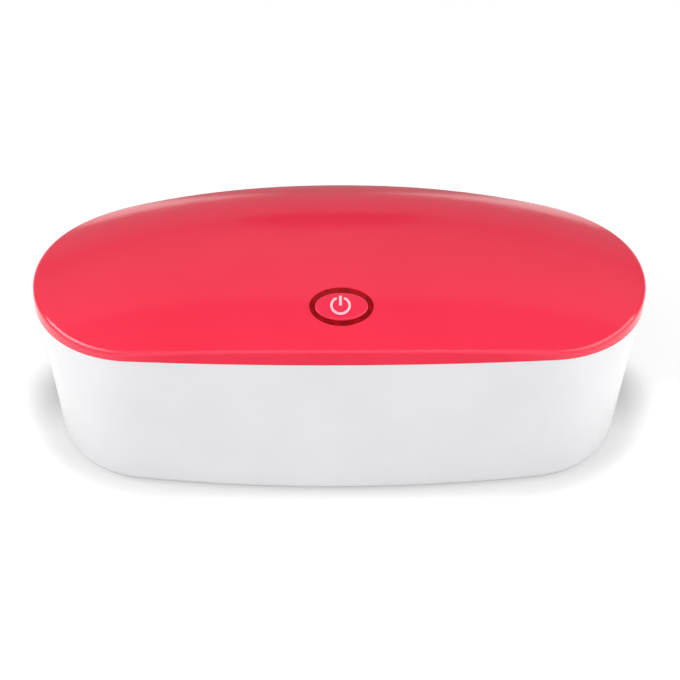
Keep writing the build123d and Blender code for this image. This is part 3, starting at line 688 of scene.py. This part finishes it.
@dataclass
class Studio:
    """Floor, lights and camera."""

    focal_px: float = 2177.92
    picture_px: float = 680.0
    sensor: float = 36.0
    eye: tuple[float, float, float] = (-0.015385, -0.707025, 0.689091)
    forward: tuple[float, float, float] = (0.0164675, 0.7401125, -0.6722814)
    right: tuple[float, float, float] = (0.9998593, -0.0143447, 0.0086994)
    floor_size: float = 6.0
    floor_glow: float = 0.03
    # Extra camera glow away from the box; its lack near the box is painted contact shadow.
    floor_glow_past_painted_shadow: float = 0.42
    floor_rise: float = 0.36
    floor_shine: float = 0.36
    floor_end_shine: float = 0.9
    # Paper colour, darker near the box as painted contact shadow.
    paper_painted_shadow: Colour = (0.48, 0.48, 0.485)
    paper_past_painted_shadow: Colour = (0.68, 0.68, 0.68)
    plan_straight: float = 0.074
    plan_squeeze: float = 0.85
    # Reach from the box of the painted contact shadow, in metres.
    shade: tuple[float, float] = (0.045, 0.068)
    rise: tuple[float, float] = (-0.03, 0.015)
    ends: tuple[float, float] = (0.09, 0.16)
    sky_light: float = 0.375
    softboxes: tuple[Softbox, ...] = (
        Softbox("front softbox", (0, -1.7, 1.05), (2.6, 1.6), 16.6),
        Softbox("left softbox", (-1.2, -0.25, 0.92), (1.4, 0.8), 13.6, (-0.1, 0, 0.08)),
        Softbox("right softbox", (1.3, -0.3, 0.7), (1.4, 0.8), 11.5, (0.1, 0, 0.08)))
    cards: tuple[Card, ...] = (
        OverheadCard("overhead card", (3.2, 2.2), (0, 1.55, 1.3), (0, 0, -1), 0.33),
        Card("rear card", (5.0, 1.24), (0, 2.65, 0.63), (0, -1, 0), 0.45),
        SideCard("left card", (1.9, 0.9), (-1.15, -0.55, 0.86), (1.15, 0.55, -0.8),
                 0.2, 3.4, (-0.9, 0.3)),
        SideCard("right card", (1.8, 0.8), (1.15, -0.45, 0.72), (-1.15, 0.45, -0.66),
                 0.2, 3.2, (0.85, 0.3)))

    def camera(self) -> None:
        """Set the camera at the picture's angle."""
        data = bpy.data.cameras.new("camera")
        data.sensor_width = self.sensor
        data.lens = self.focal_px / self.picture_px * self.sensor
        data.clip_start, data.clip_end = 0.01, 50
        eye = bpy.data.objects.new("camera", data)
        bpy.context.scene.collection.objects.link(eye)
        forward, right = Vector(self.forward).normalized(), Vector(self.right).normalized()
        up = right.cross(forward)
        turn = Matrix((right, up, -forward)).transposed().to_4x4()
        eye.matrix_world = Matrix.Translation(self.eye) @ turn
        bpy.context.scene.camera = eye

    def plane(self, name: str, size: tuple[float, float], place: tuple[float, float, float],
              aim: tuple[float, float, float]) -> bpy.types.Object:
        """Add one flat panel of the set.

        Args:
            name: Its name.
            size: Width and depth.
            place: Its centre.
            aim: The way that its upper side faces.

        Returns:
            The panel, which belongs to the stage.
        """
        form = bmesh.new()
        bmesh.ops.create_grid(form, x_segments=1, y_segments=1, size=0.5)
        bmesh.ops.scale(form, vec=(*size, 1.0), verts=form.verts)
        mesh = bpy.data.meshes.new(name)
        form.to_mesh(mesh)
        form.free()
        made = bpy.data.objects.new(name, mesh)
        made.location = place
        made.rotation_euler = Vector(aim).to_track_quat("Z", "Y").to_euler()
        bpy.context.scene.collection.objects.link(made)
        return made

    def hang(self, card: Card) -> None:
        """Hang a card so that it shows only in reflections."""
        made = self.plane(card.name, card.size, card.place, card.aim)
        made.visible_camera = made.visible_diffuse = made.visible_shadow = False
        recipe = Recipe(card.name)
        light = recipe.node("ShaderNodeEmission", {}, {
            "Color": WHITE, "Strength": card.glow(recipe)})
        recipe.tree.links.new(light.socket, recipe.output.inputs["Surface"])
        made.data.materials.append(recipe.material)

    def floor(self) -> None:
        """Lay a plain white floor that is a little darker round the box, where its colour and its
        camera glow paint a contact shadow.
        """
        made = self.plane("floor", (self.floor_size, self.floor_size), (0, 0, 0), (0, 0, 1))
        recipe = Recipe("studio floor")
        path = recipe.node("ShaderNodeLightPath", output="Is Camera Ray")
        pass_on = recipe.node("ShaderNodeLightPath", output="Is Transmission Ray")
        seen = recipe.math("MINIMUM", path + pass_on, 1.0)
        x, y, _ = recipe.axes()
        side = recipe.math("ABSOLUTE", x)
        run = recipe.math("MAXIMUM", side - self.plan_straight, 0.0) * self.plan_squeeze
        away = recipe.math("SQRT", run * run + y * y)
        # 0 near the box, in the painted contact shadow, and 1 past it.
        clear = recipe.smooth(away, *self.shade)
        behind = recipe.smooth(y, *self.rise)
        glow = self.floor_glow + clear * self.floor_glow_past_painted_shadow + behind * self.floor_rise
        lit = recipe.node("ShaderNodeEmission", {}, {"Color": WHITE, "Strength": seen * glow})
        paper = recipe.mix(clear, self.paper_painted_shadow, self.paper_past_painted_shadow)
        matt = recipe.node("ShaderNodeBsdfDiffuse", {}, {"Color": paper})
        both = recipe.node("ShaderNodeAddShader", {}, {0: matt, 1: lit})
        mirrored = self.floor_shine + recipe.smooth(side, *self.ends) * self.floor_end_shine
        dim = recipe.node("ShaderNodeEmission", {}, {"Color": WHITE, "Strength": mirrored})
        shine = recipe.node("ShaderNodeLightPath", output="Is Glossy Ray")
        mixed = recipe.node("ShaderNodeMixShader", {}, {0: shine, 1: both, 2: dim})
        recipe.tree.links.new(mixed.socket, recipe.output.inputs["Surface"])
        made.data.materials.append(recipe.material)

    def sky(self) -> None:
        """Surround the set with pale light that the camera sees as white."""
        world = bpy.data.worlds.new("studio")
        bpy.context.scene.world = world
        world.use_nodes = True
        tree = world.node_tree
        tree.nodes.clear()
        output = tree.nodes.new("ShaderNodeOutputWorld")
        path = tree.nodes.new("ShaderNodeLightPath")
        light = tree.nodes.new("ShaderNodeBackground")
        light.inputs["Strength"].default_value = self.sky_light
        white = tree.nodes.new("ShaderNodeBackground")
        white.inputs["Color"].default_value = (1, 1, 1, 1)
        mix = tree.nodes.new("ShaderNodeMixShader")
        tree.links.new(path.outputs["Is Camera Ray"], mix.inputs[0])
        tree.links.new(light.outputs[0], mix.inputs[1])
        tree.links.new(white.outputs[0], mix.inputs[2])
        tree.links.new(mix.outputs[0], output.inputs["Surface"])

    def build(self) -> None:
        """Set the whole studio."""
        scene = bpy.context.scene
        scene.view_settings.view_transform = "Standard"
        self.camera()
        self.floor()
        self.sky()
        for softbox in self.softboxes:
            softbox.hang()
        for card in self.cards:
            self.hang(card)
        LOG.info("studio is set")


@dataclass
class BaseBox(SubAssembly):
    """White base with its reflective tray, feet, pins and magnets."""

    finishes: dict[str, Finish] = field(default_factory=lambda: {
        "base_shell": BASE_WHITE, "tray_liner": REFLECTOR, "tray_screws": STEEL,
        "foot_front_left": RUBBER, "foot_front_right": RUBBER,
        "foot_rear_left": RUBBER, "foot_rear_right": RUBBER,
        "hinge_pin_left": STEEL, "hinge_pin_right": STEEL,
        "base_magnet_left": NICKEL, "base_magnet_right": NICKEL, "sensor_magnet": NICKEL,
        "lid_bumper_left": RUBBER, "lid_bumper_right": RUBBER})


@dataclass
class Lid(SubAssembly):
    """Coral lid with its reflective inner cover."""

    finishes: dict[str, Finish] = field(default_factory=lambda: {
        "lid_shell": LID_RED, "lid_inner_cover": COVER_SATIN, "light_trap_skirt": COVER_SATIN,
        "lid_screws": STEEL,
        "light_ring": RING_CLEAR, "lid_magnet_left": NICKEL, "lid_magnet_right": NICKEL})
    screws: tuple[tuple[float, float], ...] = (
        (-106, 0), (106, 0), (-76, -29), (76, -29), (-76, 29), (76, 29), (-42, -32), (42, -32))
    drive: tuple[float, float, float] = (2.5, 0.5, 0.05)
    drive_turn: float = 37.0

    def head(self, x: float, y: float) -> float:
        """Height of the face of the cover screw at a place, in millimetres."""
        places = (v.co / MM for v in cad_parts["lid_screws"].data.vertices)
        return min(p.z for p in places if math.hypot(p.x - x, p.y - y) < 3)

    def build(self) -> None:
        """Mark the cross drives in the cover screws' heads with thin dark crosses, painted shade
        where the recesses would be.
        """
        form = bmesh.new()
        for number, (x, y) in enumerate(self.screws):
            for turn in (0.0, 90.0):
                bar = bmesh.ops.create_cube(form, size=1.0)["verts"]
                bmesh.ops.scale(form, vec=self.drive, verts=bar)
                angle = math.radians(turn + self.drive_turn * number)
                bmesh.ops.rotate(form, verts=bar, matrix=Matrix.Rotation(angle, 3, "Z"))
                bmesh.ops.translate(form, vec=(x, y, self.head(x, y)), verts=bar)
        settle(form, "cover_screw_drives", DRIVE_PAINTED_SHADE, Body.LID)


@dataclass
class LampRow(SubAssembly):
    """Board, lamps and windows in the lid."""

    finishes: dict[str, Finish] = field(default_factory=lambda: {
        "uv_led_board": BOARD_WHITE, "board_screws": STEEL,
        **{f"uvc_led_{i}": CERAMIC for i in range(1, LAMPS + 1)},
        **{f"uv_window_{i}": QUARTZ for i in range(1, LAMPS + 1)}})
    rim_radii: tuple[float, float] = (1.2, 1.5)
    rim_half_depth: float = 0.03
    die: tuple[float, float, float] = (1.1, 1.1, 0.1)

    def build(self) -> None:
        """Give each lamp its gilt rim and its die."""
        (inner, outer), half = self.rim_radii, self.rim_half_depth
        section = [(inner, -half), (inner, half), (outer, half), (outer, -half), (inner, -half)]
        rims, dies = bmesh.new(), bmesh.new()
        for number in range(1, LAMPS + 1):
            low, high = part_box(f"uvc_led_{number}")
            middle = Vector(((low[0] + high[0]) / 2, (low[1] + high[1]) / 2, low[2])) / MM
            bmesh.ops.translate(rims, vec=middle, verts=spun(rims, section, 48))
            die = bmesh.ops.create_cube(dies, size=1.0)["verts"]
            bmesh.ops.scale(dies, vec=self.die, verts=die)
            bmesh.ops.translate(dies, vec=middle, verts=die)
        settle(rims, "lamp_rims", GOLD, Body.LID)
        settle(dies, "lamp_dies", BLACK_MOULD, Body.LID)


@dataclass
class Electronics(SubAssembly):
    """Boards, cell, socket and wires in the lid."""

    finishes: dict[str, Finish] = field(default_factory=lambda: {
        "control_board": BOARD_GREEN, "usb_board": BOARD_GREEN, "switch_body": BLACK_MOULD,
        "lid_sensor": BLACK_MOULD, "ring_led_left": INDICATOR, "ring_led_right": INDICATOR,
        "battery_pack": CELL_FOIL, "usb_socket": STEEL, "led_leads": LEADS,
        "battery_leads": LEADS, "usb_leads": LEADS})


@dataclass
class PowerButton(SubAssembly):
    """Oval cap, its plunger and the power symbol on it."""

    finishes: dict[str, Finish] = field(default_factory=lambda: {
        "button_cap": BUTTON_RED, "switch_plunger": BLACK_MOULD})
    crown: Crown = field(default_factory=Crown)
    middle: float = -35.5
    length: float = 22.0
    depth: float = 12.6
    proud: float = 0.15
    edge: float = 1.4
    reference: float = 10.0
    soft: float = 0.55
    skin: float = 1.6
    wall: float = 1.3
    skirt: float = 3.6
    lip: float = 1.0
    stem: tuple[float, float, float] = (1.4, 3.4, 1.4)
    symbol_radii: tuple[float, float] = (3.26, 4.26)
    symbol_half_depth: float = 0.04
    symbol_open: float = 24.0
    symbol_shift: tuple[float, float, float] = (-0.4, -0.1, 0)
    bar: tuple[float, float] = (1.1, 4.6)
    bar_middle: float = 2.3

    def onto_crown(self, form: bmesh.types.BMesh) -> None:
        """Move a flat form about the origin onto the cap's place on the crown."""
        for vertex in form.verts:
            x, y = vertex.co.x, vertex.co.y + self.middle
            vertex.co = (x, y, vertex.co.z + self.crown.height(x, y) + self.proud)

    def oval(self, form: bmesh.types.BMesh) -> None:
        """Stretch a round form into the cap's oval, with its edge as wide all round."""
        inner = self.reference - self.edge
        for vertex in form.verts:
            radius = math.hypot(vertex.co.x, vertex.co.y)
            if radius < 1e-6:
                continue
            for axis, half in ((0, self.length / 2), (1, self.depth / 2)):
                way = vertex.co[axis] / radius
                if radius > inner:
                    vertex.co[axis] = way * (half - self.reference + radius)
                else:
                    vertex.co[axis] = way * (half - self.edge) * radius / inner

    def cap(self) -> None:
        """Shape the cap with a soft upper edge, a lip below and a stem inside."""
        size, soft, skirt, low = self.reference, self.soft, self.skirt, self.skirt + self.lip
        top = [(0.0, 0.0), (2.2, 0.0), (4.4, 0.0), (6.6, 0.0), (size - self.edge, 0.0)]
        arc = [(size - soft + soft * math.sin(t), -soft + soft * math.cos(t))
               for t in (math.radians(15 * i) for i in range(7))]
        under = [(size, -skirt), (size + self.lip, -skirt), (size + self.lip, -low),
                 (size - self.wall, -low), (size - self.wall, -self.skin), (0.0, -self.skin)]
        form = bmesh.new()
        spun(form, top + arc + under, 120)
        self.oval(form)
        self.onto_crown(form)
        radius, length, drop = self.stem
        stem = bmesh.ops.create_cone(form, cap_ends=True, segments=32, radius1=radius, radius2=radius,
                                     depth=length)
        height = self.crown.height(0, self.middle) - drop - length / 2
        bmesh.ops.translate(form, vec=(0, self.middle, height), verts=stem["verts"])
        made = settle(form, "button_cap_shaped", BUTTON_RED, Body.BUTTON)
        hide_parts("button_cap")

    def symbol(self) -> None:
        """Print the power symbol: an open ring and an upright bar."""
        form = bmesh.new()
        (inner, outer), half = self.symbol_radii, self.symbol_half_depth
        section = [(inner, -half), (inner, half), (outer, half), (outer, -half), (inner, -half)]
        spun(form, section, 60, 90 + self.symbol_open, 360 - 2 * self.symbol_open)
        bmesh.ops.holes_fill(form, edges=[e for e in form.edges if e.is_boundary])
        bar = bmesh.ops.create_cube(form, size=1.0)["verts"]
        bmesh.ops.scale(form, vec=(*self.bar, 2 * half), verts=bar)
        bmesh.ops.translate(form, vec=(0, self.bar_middle, 0), verts=bar)
        bmesh.ops.translate(form, vec=self.symbol_shift, verts=form.verts)
        self.onto_crown(form)
        settle(form, "power_symbol", PRINT_WHITE, Body.BUTTON)

    def build(self) -> None:
        """Add the shaped cap and its symbol."""
        self.cap()
        self.symbol()


def main() -> None:
    """Build and dress the box in order."""
    logging.basicConfig(level=logging.INFO, format="%(name)s: %(message)s")
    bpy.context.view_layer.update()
    Studio().build()
    for part in (BaseBox(), Lid(), LampRow(), Electronics(), PowerButton()):
        part.dress()
        part.build()
        LOG.info("finished %s", type(part).__name__)


if __name__ == "__main__":
    main()
